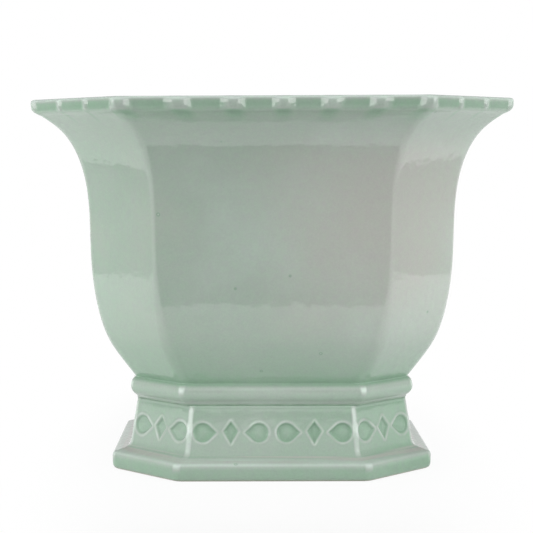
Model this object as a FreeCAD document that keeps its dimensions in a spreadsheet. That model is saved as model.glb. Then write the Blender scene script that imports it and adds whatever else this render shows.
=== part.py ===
import FreeCAD, Part

import math
import os

import Sketcher
from FreeCAD import Placement, Rotation, Vector

# An octagonal glazed planter: a flared bowl with a scalloped rim, on a pedestal with a stamped frieze.
# Millimetres, +Z up, origin on the table under the middle. A reach is the distance from the vertical
# axis to a wide face; the four cut corners stand at 45 degrees between the wide faces.

# Driving dimensions in millimetres and degrees: alias, value, meaning.
DIMENSIONS = [
    ("overall_height", 241.0, "table to the top of the rim"),
    ("body_width", 237.2, "across the bowl's wall, wide face to wide face"),
    ("bowl_face_angle", 32.2, "half the angle that a wide face of the bowl spans"),
    ("bowl_corner_round", 4.0, "radius along the bowl's upright corners"),
    ("wall", 7.0, "bowl wall"),
    ("floor_thickness", 9.0, "bowl floor"),
    ("rim_overhang", 33.9, "rim edge beyond the wall"),
    ("rim_band", 7.3, "height of the rim's edge"),
    ("rim_land", 4.5, "width of the rim's flat top"),
    ("rim_edge_round", 1.2, "radius of the rim's upper edge"),
    ("lip_setback", 2.1, "flare behind the rim's edge"),
    ("hollow_depth", 2.6, "depth of a scallop in the rim"),
    ("hollow_ridge", 4.0, "ridge between two scallops"),
    ("neck_inset", 27.6, "neck inside the wall"),
    ("heel_inset", 19.7, "heel inside the wall"),
    ("heel_rise", 11.8, "heel above the neck"),
    ("hip_inset", 13.0, "hip inside the wall"),
    ("hip_rise", 23.0, "hip above the neck"),
    ("belly_inset", 5.9, "belly inside the wall"),
    ("belly_rise", 44.0, "belly above the neck"),
    ("wall_draft", 1.5, "lean of the wall below the throat"),
    ("throat_drop", 62.5, "throat below the rim's top"),
    ("bell_outset", 6.0, "bell beyond the wall"),
    ("bell_drop", 36.0, "bell below the rim's top"),
    ("flare_outset", 16.3, "flare beyond the wall"),
    ("flare_drop", 19.0, "flare below the rim's top"),
    ("bead_height", 14.2, "height of the bead round the bowl's foot"),
    ("bead_bulge", 1.7, "bead beyond the neck"),
    ("bead_round", 5.0, "radius of the bead's edges"),
    ("seam_thickness", 0.8, "slip between the bowl and the pedestal"),
    ("seam_recess", 1.6, "slip behind the top of the frieze"),
    ("pedestal_face_angle", 30.3, "half the angle that a wide face of the pedestal spans"),
    ("frieze_inset", 2.4, "top of the frieze inside the neck"),
    ("frieze_splay", 4.7, "foot of the frieze beyond its top"),
    ("frieze_height", 31.5, "height of the frieze"),
    ("frieze_corner_round", 4.0, "radius along the frieze's upright corners"),
    ("ledge_depth", 9.6, "ledge beyond the foot of the frieze"),
    ("ledge_rise", 3.2, "rise of the sloping ledge"),
    ("plinth_bulge", 1.7, "plinth beyond the ledge"),
    ("plinth_height", 10.7, "height of the plinth"),
    ("plinth_foot_round", 3.0, "radius of the plinth's lower edge"),
    ("plinth_top_round", 1.7, "radius of the plinth's upper edge"),
    ("pedestal_wall", 11.6, "pedestal wall at the top of the frieze"),
    ("foot_width", 13.1, "flat foot ring, between the lower edge's radius and the hollow"),
    ("stamp_depth", 1.3, "depth of the stamped ornaments"),
    ("stamp_lift", 14.5, "row of ornaments above the foot of the frieze"),
    ("stamp_margin", 2.7, "end of a row of three from the end of its panel"),
    ("drop_radius", 6.0, "round end of a drop"),
    ("drop_point", 8.1, "point of a drop from the centre of its round end"),
    ("lozenge_half_width", 4.3, "middle of a lozenge to its side corner"),
    ("lozenge_top", 6.0, "side corners of a lozenge to its upper point"),
    ("lozenge_foot", 8.6, "side corners of a lozenge to its lower point"),
    ("drain_radius", 11.0, "drain hole"),
    ("plug_clearance", 0.3, "plug to the drain hole, all round"),
    ("plug_taper", 0.9, "plug narrower at its lower end"),
    ("plug_tail", 3.0, "plug below the bowl's floor"),
    ("flange_overlap", 5.0, "plug flange beyond the drain hole"),
    ("flange_thickness", 3.0, "plug flange"),
    ("stem_radius", 3.5, "stem of the plug's knob"),
    ("stem_height", 4.0, "stem of the plug's knob"),
    ("knob_radius", 6.0, "knob of the plug"),
    ("knob_height", 4.0, "knob of the plug"),
    ("pad_radius", 5.0, "foot pad"),
    ("pad_thickness", 0.6, "foot pad"),
]
FACE_HOLLOWS = 6
CORNER_HOLLOWS = 3
FACE_TRIOS = 2
CORNER_TRIOS = 1
SIDES = 4
CORNER_TURN = 45.0
CUT_MARGIN = 2.0

doc = FreeCAD.newDocument("octagonal_planter")
sheet = doc.addObject("Spreadsheet::Sheet", "Dims")
for row, (alias, value, meaning) in enumerate(DIMENSIONS, start=1):
    sheet.set(f"A{row}", alias)
    sheet.set(f"B{row}", str(value))
    sheet.setAlias(f"B{row}", alias)
    sheet.set(f"C{row}", meaning)
doc.recompute()


def value_of(expression):
    """The number that an expression over the sheet gives."""
    return float(sheet.evalExpression(expression))


def dims(text):
    """The expression text with each {alias} replaced by that cell of the sheet."""
    return text.format(**{alias: f"Dims.{alias}" for alias, _, _ in DIMENSIONS})


# Reaches and heights that more than one sub-part shares.
BODY_REACH = dims("{body_width} / 2")
RIM_REACH = dims("({body_width} / 2 + {rim_overhang})")
NECK_REACH = dims("({body_width} / 2 - {neck_inset})")
BEAD_REACH = dims(f"({NECK_REACH} + {{bead_bulge}})")
FRIEZE_TOP_REACH = dims(f"({NECK_REACH} - {{frieze_inset}})")
FRIEZE_FOOT_REACH = dims(f"({FRIEZE_TOP_REACH} + {{frieze_splay}})")
LEDGE_REACH = dims(f"({FRIEZE_FOOT_REACH} + {{ledge_depth}})")
PLINTH_REACH = dims(f"({LEDGE_REACH} + {{plinth_bulge}})")
HOLLOW_TOP_REACH = dims(f"({FRIEZE_TOP_REACH} - {{pedestal_wall}})")
HOLLOW_FOOT_REACH = dims(f"({PLINTH_REACH} - {{plinth_foot_round}} - {{foot_width}})")
PLINTH_TOP = dims("({pad_thickness} + {plinth_height})")
LEDGE_TOP = dims(f"({PLINTH_TOP} + {{ledge_rise}})")
PEDESTAL_TOP = dims(f"({LEDGE_TOP} + {{frieze_height}})")
BOWL_FOOT = dims(f"({PEDESTAL_TOP} + {{seam_thickness}})")
FLOOR_TOP = dims(f"({BOWL_FOOT} + {{floor_thickness}})")
NECK_HEIGHT = dims(f"({BOWL_FOOT} + {{bead_height}})")
RIM_FOOT = dims("({overall_height} - {rim_band})")
BOWL_SPREAD = dims("tan({bowl_face_angle})")
PEDESTAL_SPREAD = dims("tan({pedestal_face_angle})")

# Stations of the bowl's outer curve from the neck to the lip: name, reach, height.
BELLY_HEIGHT = dims(f"({NECK_HEIGHT} + {{belly_rise}})")
THROAT_HEIGHT = dims("({overall_height} - {throat_drop})")
STATIONS = [
    ("neck", NECK_REACH, NECK_HEIGHT),
    ("heel", dims(f"{BODY_REACH} - {{heel_inset}}"), dims(f"{NECK_HEIGHT} + {{heel_rise}}")),
    ("hip", dims(f"{BODY_REACH} - {{hip_inset}}"), dims(f"{NECK_HEIGHT} + {{hip_rise}}")),
    ("belly", dims(f"{BODY_REACH} - {{belly_inset}}"), BELLY_HEIGHT),
    ("wall", dims(f"{BODY_REACH} - {{wall_draft}}"), f"({BELLY_HEIGHT} + {THROAT_HEIGHT}) / 2"),
    ("throat", BODY_REACH, THROAT_HEIGHT),
    ("bell", dims(f"{BODY_REACH} + {{bell_outset}}"), dims("{overall_height} - {bell_drop}")),
    ("flare", dims(f"{BODY_REACH} + {{flare_outset}}"), dims("{overall_height} - {flare_drop}")),
    ("lip", dims(f"{RIM_REACH} - {{lip_setback}}"), RIM_FOOT),
]


def new_body(label):
    """An empty body with its own label."""
    body = doc.addObject("PartDesign::Body", label)
    body.Label = label
    return body


def origin_plane(body, role):
    """The body's origin plane with the given role."""
    return next(plane for plane in body.Origin.OriginFeatures if plane.Role == role)


def level_sketch(body, name, height):
    """A sketch in a horizontal plane at a height that is an expression."""
    sketch = body.newObject("Sketcher::SketchObject", name)
    sketch.AttachmentSupport = [(origin_plane(body, "XY_Plane"), "")]
    sketch.MapMode = "FlatFace"
    sketch.setExpression("AttachmentOffset.Base.z", height)
    return sketch


def bind(sketch, constraint, expression):
    """Add a constraint whose size follows an expression."""
    index = sketch.addConstraint(constraint)
    sketch.setExpression(f"Constraints[{index}]", expression)


def pin(sketch, edge, end, across, up):
    """Hold one end of an edge at two distances, both expressions, from the sketch's origin."""
    for kind, expression in (("DistanceX", across), ("DistanceY", up)):
        place = Sketcher.Constraint(kind, -1, 1, edge, end, value_of(expression))
        bind(sketch, place, expression)


def add_loop(sketch, points):
    """Closed run of lines through points, given as pairs of expressions, pinned at every corner."""
    ends = [Vector(value_of(across), value_of(up), 0) for across, up in points]
    edges = []
    for index, start in enumerate(ends):
        end = ends[(index + 1) % len(ends)]
        edges.append(sketch.addGeometry(Part.LineSegment(start, end)))
    for index, edge in enumerate(edges):
        following = edges[(index + 1) % len(edges)]
        sketch.addConstraint(Sketcher.Constraint("Coincident", edge, 2, following, 1))
        pin(sketch, edge, 1, *points[index])
    return edges


def add_octagon(sketch, reach, spread):
    """Octagon with wide faces at the reach, each half as wide as the reach times the spread."""
    half = f"{reach} * {spread}"
    quarter = [(f"({reach})", f"-({half})"), (f"({reach})", f"({half})")]
    points = []
    for _ in range(SIDES):
        points += quarter
        quarter = [(f"-1 * {up}", across) for across, up in quarter]
    add_loop(sketch, points)


def octagon_sketch(body, name, reach, spread, height):
    """A horizontal sketch that holds one octagon."""
    sketch = level_sketch(body, name, height)
    add_octagon(sketch, f"({reach})", spread)
    return sketch


def add_loft(body, kind, name, sections, ruled):
    """Loft of the given kind through section sketches."""
    doc.recompute()
    loft = body.newObject(f"PartDesign::{kind}", name)
    loft.Profile = sections[0]
    loft.Sections = sections[1:]
    loft.Ruled = ruled
    doc.recompute()
    return loft


def add_pad(body, name, sketch, length):
    """Pad of a sketch by a length that is an expression."""
    pad = body.newObject("PartDesign::Pad", name)
    pad.Profile = sketch
    pad.setExpression("Length", length)
    doc.recompute()
    return pad


def add_pocket(body, name, sketch, depth):
    """Pocket below a sketch, stopped with an error if it cuts nothing."""
    before = body.Shape.Volume
    pocket = body.newObject("PartDesign::Pocket", name)
    pocket.Profile = sketch
    pocket.setExpression("Length", depth)
    doc.recompute()
    if not body.Shape.Volume < before:
        raise RuntimeError(f"{name} cuts nothing")
    return pocket


def add_pattern(body, name, originals):
    """Repeat features on the four sides, about the upright axis."""
    pattern = body.newObject("PartDesign::PolarPattern", name)
    pattern.Originals = originals
    pattern.Axis = (origin_axis(body), [""])
    pattern.Angle = 360
    pattern.Occurrences = SIDES
    body.Tip = pattern
    doc.recompute()
    return pattern


def origin_axis(body):
    """The body's upright axis."""
    return next(axis for axis in body.Origin.OriginFeatures if axis.Role == "Z_Axis")


def add_fillet(body, name, base, chosen, radius):
    """Fillet along those edges of a feature that a test picks."""
    names = [f"Edge{number}" for number, edge in enumerate(base.Shape.Edges, start=1) if chosen(edge)]
    fillet = body.newObject("PartDesign::Fillet", name)
    fillet.Base = (base, names)
    fillet.setExpression("Radius", radius)
    doc.recompute()
    return fillet


def is_upright(edge):
    """Whether an edge joins two heights."""
    return abs(edge.Vertexes[0].Z - edge.Vertexes[-1].Z) > 1e-3


def lies_at(height):
    """A test for edges that lie at a height, which is an expression."""
    level = value_of(height)
    return lambda edge: all(abs(vertex.Z - level) < 1e-3 for vertex in edge.Vertexes)


def joins(low, high):
    """A test for edges that run from one height to another, both expressions."""
    ends = [value_of(low), value_of(high)]

    def chosen(edge):
        heights = sorted(vertex.Z for vertex in edge.Vertexes)
        return all(abs(height - end) < 1e-3 for height, end in zip(heights, ends))

    return chosen


def inner_station(index):
    """Reach and height of the bowl's inside across the wall from an outer station."""
    _, reach, height = STATIONS[index]
    _, reach_below, height_below = STATIONS[max(index - 1, 0)]
    _, reach_above, height_above = STATIONS[index + 1]
    outward = value_of(reach_above) - value_of(reach_below)
    upward = value_of(height_above) - value_of(height_below)
    slope = math.atan2(outward, upward)
    inner_reach = dims(f"{reach} - {{wall}} * {math.cos(slope):.4f}")
    inner_height = dims(f"{height} + {{wall}} * {math.sin(slope):.4f}")
    return inner_reach, inner_height


def add_hollows(body, name, count, half_face, reach, turn):
    """Pocket of scallops along one side of the rim, turned about the upright axis."""
    sketch = level_sketch(body, f"{name}_sketch", dims("{overall_height}"))
    sketch.AttachmentOffset = Placement(Vector(0, 0, 0), Rotation(Vector(0, 0, 1), turn))
    pitch = f"(2 * {half_face} / {count})"
    half_chord = dims(f"(({pitch} - {{hollow_ridge}}) / 2)")
    radius = dims(f"({half_chord} ^ 2 + {{hollow_depth}} ^ 2) / (2 * {{hollow_depth}})")
    edge_line = f"-1 * {reach}"
    outer_line = f"-1 * {reach} - {CUT_MARGIN}"
    for index in range(count):
        middle = f"({index - (count - 1) / 2} * {pitch})"
        left = f"{middle} - {half_chord}"
        right = f"{middle} + {half_chord}"
        corners = [(left, edge_line), (left, outer_line), (right, outer_line), (right, edge_line)]
        ends = [Vector(value_of(across), value_of(up), 0) for across, up in corners]
        lines = [sketch.addGeometry(Part.LineSegment(ends[side], ends[side + 1])) for side in range(3)]
        crown = Vector(value_of(middle), value_of(dims(f"{edge_line} + {{hollow_depth}}")), 0)
        arc = sketch.addGeometry(Part.Arc(ends[3], crown, ends[0]))
        for side, line in enumerate(lines):
            pin(sketch, line, 1, *corners[side])
        pin(sketch, lines[2], 2, *corners[3])
        for first, second in ((0, 1), (1, 2)):
            sketch.addConstraint(Sketcher.Constraint("Coincident", lines[first], 2, lines[second], 1))
        bind_arc(sketch, arc, lines, radius)
    doc.recompute()
    return add_pocket(body, name, sketch, dims("{rim_band}"))


def bind_arc(sketch, arc, lines, radius):
    """Join an arc to the free ends of a run of lines and bind its radius."""
    edge = sketch.Geometry[arc]
    start_is_left = edge.StartPoint.x < edge.EndPoint.x
    left_end, right_end = (1, 2) if start_is_left else (2, 1)
    sketch.addConstraint(Sketcher.Constraint("Coincident", arc, left_end, lines[0], 1))
    sketch.addConstraint(Sketcher.Constraint("Coincident", arc, right_end, lines[-1], 2))
    bind(sketch, Sketcher.Constraint("Radius", arc, value_of(radius)), radius)


def make_bowl():
    """Flared octagonal casting: bead, curved wall, scalloped rim, hollow inside and drain hole."""
    body = new_body("bowl")
    bead = add_pad(
        body, "bead", octagon_sketch(body, "bead_sketch", BEAD_REACH, BOWL_SPREAD, BOWL_FOOT),
        dims("{bead_height}"))
    bead = add_fillet(body, "bead_corners", bead, is_upright, dims("{bowl_corner_round}"))
    add_fillet(
        body, "bead_edges", bead, lambda edge: not is_upright(edge), dims("{bead_round}"))
    sections = [
        octagon_sketch(body, f"{name}_section", reach, BOWL_SPREAD, height)
        for name, reach, height in STATIONS]
    outer_wall = add_loft(body, "AdditiveLoft", "outer_wall", sections, False)
    add_fillet(
        body, "wall_corners", outer_wall, joins(NECK_HEIGHT, RIM_FOOT), dims("{bowl_corner_round}"))
    rim_sketch = octagon_sketch(body, "rim_sketch", RIM_REACH, BOWL_SPREAD, RIM_FOOT)
    add_pad(body, "rim", rim_sketch, dims("{rim_band}"))

    half_face = f"({RIM_REACH} * {BOWL_SPREAD})"
    corner_half_face = f"({RIM_REACH} * (1 - {BOWL_SPREAD}) / sqrt(2))"
    corner_reach = f"({RIM_REACH} * (1 + {BOWL_SPREAD}) / sqrt(2))"
    face_hollows = add_hollows(body, "face_hollows", FACE_HOLLOWS, half_face, RIM_REACH, 0)
    corner_hollows = add_hollows(
        body, "corner_hollows", CORNER_HOLLOWS, corner_half_face, corner_reach, CORNER_TURN)
    hollows = add_pattern(body, "hollows", [face_hollows, corner_hollows])
    add_fillet(body, "rim_edge", hollows, lies_at(dims("{overall_height}")), dims("{rim_edge_round}"))

    floor_reach = dims(f"{NECK_REACH} - {{wall}}")
    inside = [octagon_sketch(body, "floor_inside", floor_reach, BOWL_SPREAD, FLOOR_TOP)]
    for index, (name, _, _) in enumerate(STATIONS[:-1]):
        reach, height = inner_station(index)
        inside.append(octagon_sketch(body, f"{name}_inside", reach, BOWL_SPREAD, height))
    mouth_reach = dims(f"{RIM_REACH} - {{rim_land}}")
    inside.append(octagon_sketch(body, "mouth_inside", mouth_reach, BOWL_SPREAD, dims("{overall_height}")))
    add_loft(body, "SubtractiveLoft", "inside", inside, False)

    drain = level_sketch(body, "drain_sketch", FLOOR_TOP)
    add_circle(drain, dims("{drain_radius}"))
    add_pocket(body, "drain_hole", drain, dims("{floor_thickness}"))
    return body


def add_circle(sketch, radius):
    """Circle about the sketch's origin."""
    circle = sketch.addGeometry(Part.Circle(Vector(0, 0, 0), Vector(0, 0, 1), value_of(radius)))
    sketch.addConstraint(Sketcher.Constraint("Coincident", circle, 3, -1, 1))
    bind(sketch, Sketcher.Constraint("Radius", circle, value_of(radius)), radius)


def panel_sketch(body, name, corner):
    """A sketch on the front panel of the frieze, or on the cut corner beside it, centred on its row."""
    reach_share = f"(1 + {PEDESTAL_SPREAD}) / sqrt(2)" if corner else "1"
    row_reach = value_of(dims(
        f"({FRIEZE_FOOT_REACH} - {{frieze_splay}} * {{stamp_lift}} / {{frieze_height}}) * {reach_share}"))
    row_height = value_of(dims(f"{LEDGE_TOP} + {{stamp_lift}}"))
    splay = value_of(dims(f"{{frieze_splay}} * {reach_share}"))
    tilt = math.degrees(math.atan2(splay, value_of(dims("{frieze_height}"))))
    turn = Rotation(Vector(0, 1, 0), CORNER_TURN if corner else 0)
    base = turn.multVec(Vector(0, row_height, row_reach))
    sketch = body.newObject("Sketcher::SketchObject", name)
    sketch.AttachmentSupport = [(origin_plane(body, "XZ_Plane"), "")]
    sketch.MapMode = "FlatFace"
    sketch.AttachmentOffset = Placement(base, turn * Rotation(Vector(-1, 0, 0), tilt))
    return sketch


def add_drop(sketch, centre, facing):
    """Drop with its round end at a place along the row and its point to the right (1) or left (-1)."""
    middle = Vector(value_of(centre), 0, 0)
    radius = value_of(dims("{drop_radius}"))
    point = dims(f"{centre} + {facing} * {{drop_point}}")
    tip = Vector(value_of(point), 0, 0)
    opening = math.acos(radius / value_of(dims("{drop_point}")))
    heading = 0 if facing > 0 else math.pi
    circle = Part.Circle(middle, Vector(0, 0, 1), radius)
    arc = sketch.addGeometry(Part.ArcOfCircle(circle, heading + opening, heading - opening + 2 * math.pi))
    first, last = sketch.Geometry[arc].StartPoint, sketch.Geometry[arc].EndPoint
    outgoing = sketch.addGeometry(Part.LineSegment(last, tip))
    returning = sketch.addGeometry(Part.LineSegment(tip, first))
    sketch.addConstraint(Sketcher.Constraint("Tangent", arc, 2, outgoing, 1))
    sketch.addConstraint(Sketcher.Constraint("Tangent", returning, 2, arc, 1))
    sketch.addConstraint(Sketcher.Constraint("Coincident", outgoing, 2, returning, 1))
    pin(sketch, arc, 3, centre, "0")
    pin(sketch, outgoing, 2, point, "0")
    bind(sketch, Sketcher.Constraint("Radius", arc, radius), dims("{drop_radius}"))


def add_lozenge(sketch, middle):
    """Kite with its side corners above its middle, at a place along the row."""
    lift = dims("(({lozenge_foot} - {lozenge_top}) / 2)")
    top = dims(f"{lift} + {{lozenge_top}}")
    foot = dims(f"{lift} - {{lozenge_foot}}")
    left = dims(f"{middle} - {{lozenge_half_width}}")
    right = dims(f"{middle} + {{lozenge_half_width}}")
    add_loop(sketch, [(middle, top), (left, lift), (middle, foot), (right, lift)])


def add_stamps(body, name, trios, half_panel, corner):
    """Pockets of one panel: rows of drop, lozenge and drop, with the points towards the lozenge."""
    drops = panel_sketch(body, f"{name}_drops_sketch", corner)
    lozenges = panel_sketch(body, f"{name}_lozenges_sketch", corner)
    offset = dims(f"({half_panel} / {trios} - {{stamp_margin}} - {{drop_radius}})")
    for index in range(trios):
        middle = f"({2 * index - trios + 1} * {half_panel} / {trios})"
        add_drop(drops, f"({middle} - {offset})", 1)
        add_drop(drops, f"({middle} + {offset})", -1)
        add_lozenge(lozenges, middle)
    doc.recompute()
    return [
        add_pocket(body, f"{name}_drops", drops, dims("{stamp_depth}")),
        add_pocket(body, f"{name}_lozenges", lozenges, dims("{stamp_depth}"))]


def make_pedestal():
    """Hollow octagonal casting: plinth, sloping ledge and stamped frieze."""
    body = new_body("pedestal")
    foot = dims("{pad_thickness}")
    plinth = add_pad(
        body, "plinth", octagon_sketch(body, "plinth_sketch", PLINTH_REACH, PEDESTAL_SPREAD, foot),
        dims("{plinth_height}"))
    plinth = add_fillet(body, "plinth_corners", plinth, is_upright, dims("{frieze_corner_round}"))
    plinth = add_fillet(body, "plinth_foot", plinth, lies_at(foot), dims("{plinth_foot_round}"))
    add_fillet(body, "plinth_top", plinth, lies_at(PLINTH_TOP), dims("{plinth_top_round}"))
    ledge = [
        octagon_sketch(body, "ledge_foot", LEDGE_REACH, PEDESTAL_SPREAD, PLINTH_TOP),
        octagon_sketch(body, "ledge_top", FRIEZE_FOOT_REACH, PEDESTAL_SPREAD, LEDGE_TOP)]
    add_loft(body, "AdditiveLoft", "ledge", ledge, True)
    frieze = [
        octagon_sketch(body, "frieze_foot", FRIEZE_FOOT_REACH, PEDESTAL_SPREAD, LEDGE_TOP),
        octagon_sketch(body, "frieze_top", FRIEZE_TOP_REACH, PEDESTAL_SPREAD, PEDESTAL_TOP)]
    frieze = add_loft(body, "AdditiveLoft", "frieze", frieze, True)
    add_fillet(
        body, "frieze_corners", frieze, joins(LEDGE_TOP, PEDESTAL_TOP), dims("{frieze_corner_round}"))

    row_reach = dims(f"({FRIEZE_FOOT_REACH} - {{frieze_splay}} * {{stamp_lift}} / {{frieze_height}})")
    half_panel = f"({row_reach} * {PEDESTAL_SPREAD})"
    corner_half_panel = f"({row_reach} * (1 - {PEDESTAL_SPREAD}) / sqrt(2))"
    stamps = add_stamps(body, "face", FACE_TRIOS, half_panel, False)
    stamps += add_stamps(body, "corner", CORNER_TRIOS, corner_half_panel, True)
    add_pattern(body, "stamps", stamps)

    hollow = [
        octagon_sketch(body, "hollow_foot", HOLLOW_FOOT_REACH, PEDESTAL_SPREAD, foot),
        octagon_sketch(body, "hollow_top", HOLLOW_TOP_REACH, PEDESTAL_SPREAD, PEDESTAL_TOP)]
    add_loft(body, "SubtractiveLoft", "hollow", hollow, True)
    return body


def make_luting_seam():
    """Thin octagonal ring of slip between the pedestal's top and the bowl's foot."""
    body = new_body("luting_seam")
    outline = dims(f"{FRIEZE_TOP_REACH} - {{seam_recess}}")
    sketch = octagon_sketch(body, "seam_sketch", outline, PEDESTAL_SPREAD, PEDESTAL_TOP)
    add_octagon(sketch, HOLLOW_TOP_REACH, PEDESTAL_SPREAD)
    add_pad(body, "seam", sketch, dims("{seam_thickness}"))
    return body


def make_drain_plug():
    """Turned rubber stopper: tapered shank in the drain hole, flange on the floor, stem and knob."""
    body = new_body("drain_plug")
    shank_top = dims("{drain_radius} - {plug_clearance}")
    shank_foot = dims("{drain_radius} - {plug_clearance} - {plug_taper}")
    flange = dims("{drain_radius} + {flange_overlap}")
    tail = dims(f"{BOWL_FOOT} - {{plug_tail}}")
    flange_top = dims(f"({FLOOR_TOP} + {{flange_thickness}})")
    knob_foot = dims(f"({flange_top} + {{stem_height}})")
    knob_top = dims(f"{knob_foot} + {{knob_height}}")
    stem = dims("{stem_radius}")
    knob = dims("{knob_radius}")
    sketch = body.newObject("Sketcher::SketchObject", "plug_sketch")
    sketch.AttachmentSupport = [(origin_plane(body, "XZ_Plane"), "")]
    sketch.MapMode = "FlatFace"
    add_loop(sketch, [
        ("0", tail), (shank_foot, tail), (shank_top, FLOOR_TOP), (flange, FLOOR_TOP), (flange, flange_top),
        (stem, flange_top), (stem, knob_foot), (knob, knob_foot), (knob, knob_top), ("0", knob_top)])
    doc.recompute()
    turned = body.newObject("PartDesign::Revolution", "turned")
    turned.Profile = sketch
    turned.ReferenceAxis = (sketch, ["V_Axis"])
    turned.Angle = 360
    doc.recompute()
    return body


def make_foot_pad(number):
    """Round felt pad under the foot ring at one cut corner."""
    label = f"foot_pad_{number}"
    pad = doc.addObject("Part::Cylinder", label)
    pad.Label = label
    pad.setExpression("Radius", dims("{pad_radius}"))
    pad.setExpression("Height", dims("{pad_thickness}"))
    ring_reach = dims(f"({HOLLOW_FOOT_REACH} + {{foot_width}} / 2)")
    along = f"{ring_reach} * (1 + {PEDESTAL_SPREAD}) / 2"
    side = 1 if number in (1, 4) else -1
    depth = 1 if number in (1, 2) else -1
    pad.setExpression("Placement.Base.x", f"{side} * {along}")
    pad.setExpression("Placement.Base.y", f"{depth} * {along}")
    doc.recompute()
    return pad


def check_and_write(parts):
    """Stop on any failed object or shape, then write each sub-part under its label."""
    for item in doc.Objects:
        if {"Invalid", "Error"} & set(item.State):
            raise RuntimeError(f"{item.Label} failed: {item.State}")
    for part in parts:
        if part.Shape.isNull() or not part.Shape.isValid():
            raise RuntimeError(f"{part.Label} has no valid shape")
    os.makedirs("parts", exist_ok=True)
    for part in parts:
        part.Shape.exportStep(f"parts/{part.Label}.step")
        print(part.Label, len(part.Shape.Solids), "solid,", round(part.Shape.Volume), "mm3")


sub_parts = [make_bowl(), make_pedestal(), make_luting_seam(), make_drain_plug()]
sub_parts += [make_foot_pad(number) for number in range(1, SIDES + 1)]
doc.recompute()
check_and_write(sub_parts)
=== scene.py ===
"""Octagonal celadon planter: glazed bowl and pedestal, fired slip seam, drain plug and felt pads."""
import logging
import math
from collections.abc import Callable, Sequence
from dataclasses import dataclass, field, fields
from enum import Enum
from functools import partial
from types import SimpleNamespace
from typing import Any

import bpy
import numpy as np
from bpy.types import ID, Material, Mesh, Node, NodeSocket, NodeTree, Object
from mathutils import Euler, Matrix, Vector


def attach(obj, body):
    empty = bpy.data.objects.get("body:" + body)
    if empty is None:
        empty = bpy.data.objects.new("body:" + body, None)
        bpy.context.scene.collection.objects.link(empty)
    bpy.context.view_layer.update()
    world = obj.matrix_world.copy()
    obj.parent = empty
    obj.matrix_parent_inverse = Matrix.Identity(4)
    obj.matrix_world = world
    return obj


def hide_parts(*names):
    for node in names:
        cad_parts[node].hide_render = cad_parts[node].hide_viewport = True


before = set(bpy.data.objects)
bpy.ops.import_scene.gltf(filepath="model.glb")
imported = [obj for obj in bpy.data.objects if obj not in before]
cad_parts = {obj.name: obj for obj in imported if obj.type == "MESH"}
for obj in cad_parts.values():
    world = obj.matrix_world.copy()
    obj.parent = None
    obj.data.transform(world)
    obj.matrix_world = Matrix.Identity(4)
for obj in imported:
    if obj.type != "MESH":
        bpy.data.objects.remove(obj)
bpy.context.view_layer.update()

LOG = logging.getLogger("planter")
MM = 0.001
EIGHTH_TURN, QUARTER_TURN = math.pi / 4, math.pi / 2
PHOTO_SIDE = 533
SENSOR_WIDTH = 36.0

Colour = tuple[float, float, float, float]
Pair = tuple[float, float]
Place = tuple[float, float, float]
Marks = float | Sequence[float]


class Body(Enum):
    """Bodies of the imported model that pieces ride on."""

    PLANTER = "planter"
    PLUG = "plug"


class Slot(Enum):
    """Material slots of the pieces."""

    GLAZE = "celadon_glaze"
    SLIP = "slip"
    RUBBER = "plug_rubber"
    FELT = "pad_felt"


class Mark(Enum):
    """Values that each point of a section hands on to its shell."""

    CORNER = "corner_round"
    RIM = "rim_share"
    RING = "ring_share"
    POOL = "glaze_pool"
    CLAY = "bare_clay"
    EDGE = "edge_thinning"


class Mix(Enum):
    """What a blend mixes: suffix of its sockets, data type, output and blend type."""

    VALUE = ("Float", "FLOAT", 0, "MIX")
    VECTOR = ("Vector", "VECTOR", 1, "MIX")
    COLOUR = ("Color", "RGBA", 2, "MIX")
    FILTER = ("Color", "RGBA", 2, "MULTIPLY")


PLAIN_MARKS = {Mark.CORNER: 4.0, Mark.POOL: 0.5}
SOCKETS = {float: "Float", int: "Int", Object: "Object"}


def tint(red: int, green: int, blue: int) -> Colour:
    """Linear colour, with full alpha, of a display colour.

    Args:
        red, green, blue: Its channels, 0 to 255.

    Returns:
        The colour's four linear values.
    """
    shares = [channel / 255 for channel in (red, green, blue)]
    linear = [s / 12.92 if s <= 0.04045 else ((s + 0.055) / 1.055) ** 2.4 for s in shares]
    return (linear[0], linear[1], linear[2], 1.0)


def spread(angle: float) -> float:
    """Half the width of a wide face of unit reach, from the half angle that it takes up in degrees."""
    return math.tan(math.radians(angle))


WHITE = tint(255, 255, 255)
REGULAR_SPREAD = spread(22.5)


def operation(name: str, swapped: bool = False) -> Callable[..., "Wire"]:
    """Method of a wire that adds a math node for it and another value, if there is one.

    Args:
        name: Operation of the math node.
        swapped: Whether the wire comes after the other value.

    Returns:
        The method.
    """

    def method(wire: "Wire", *others: Any) -> "Wire":
        """Result of the math node."""
        return wire.bench.math(name, *others, wire) if swapped else wire.bench.math(name, wire, *others)

    return method


class Wire:
    """Output of a node; arithmetic on it adds the nodes that work it out."""

    def __init__(self, bench: "NodeBench", socket: NodeSocket) -> None:
        """Tap an output socket of a bench's tree."""
        self.bench, self.socket, self.vector = bench, socket, socket.type == "VECTOR"

    def __mul__(self, other: Any) -> "Wire":
        """Product, or a vector scaled by a value."""
        single = not isinstance(other, tuple) and not getattr(other, "vector", False)
        return self.bench.math("SCALE" if self.vector and single else "MULTIPLY", self, other)

    def ramp(self, low: Any, high: Any, smooth: bool = False) -> "Wire":
        """Share of the way from one value to another, held between 0 and 1."""
        shape = "SMOOTHSTEP" if smooth else "LINEAR"
        return self.bench.use("ShaderNodeMapRange", self, low, high, interpolation_type=shape, clamp=True)

    __add__ = __radd__ = operation("ADD")
    __sub__, __rsub__ = operation("SUBTRACT"), operation("SUBTRACT", True)
    __rmul__, __truediv__, __abs__ = __mul__, operation("DIVIDE"), operation("ABSOLUTE")
    __gt__, __lt__ = operation("GREATER_THAN"), operation("LESS_THAN")


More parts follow.
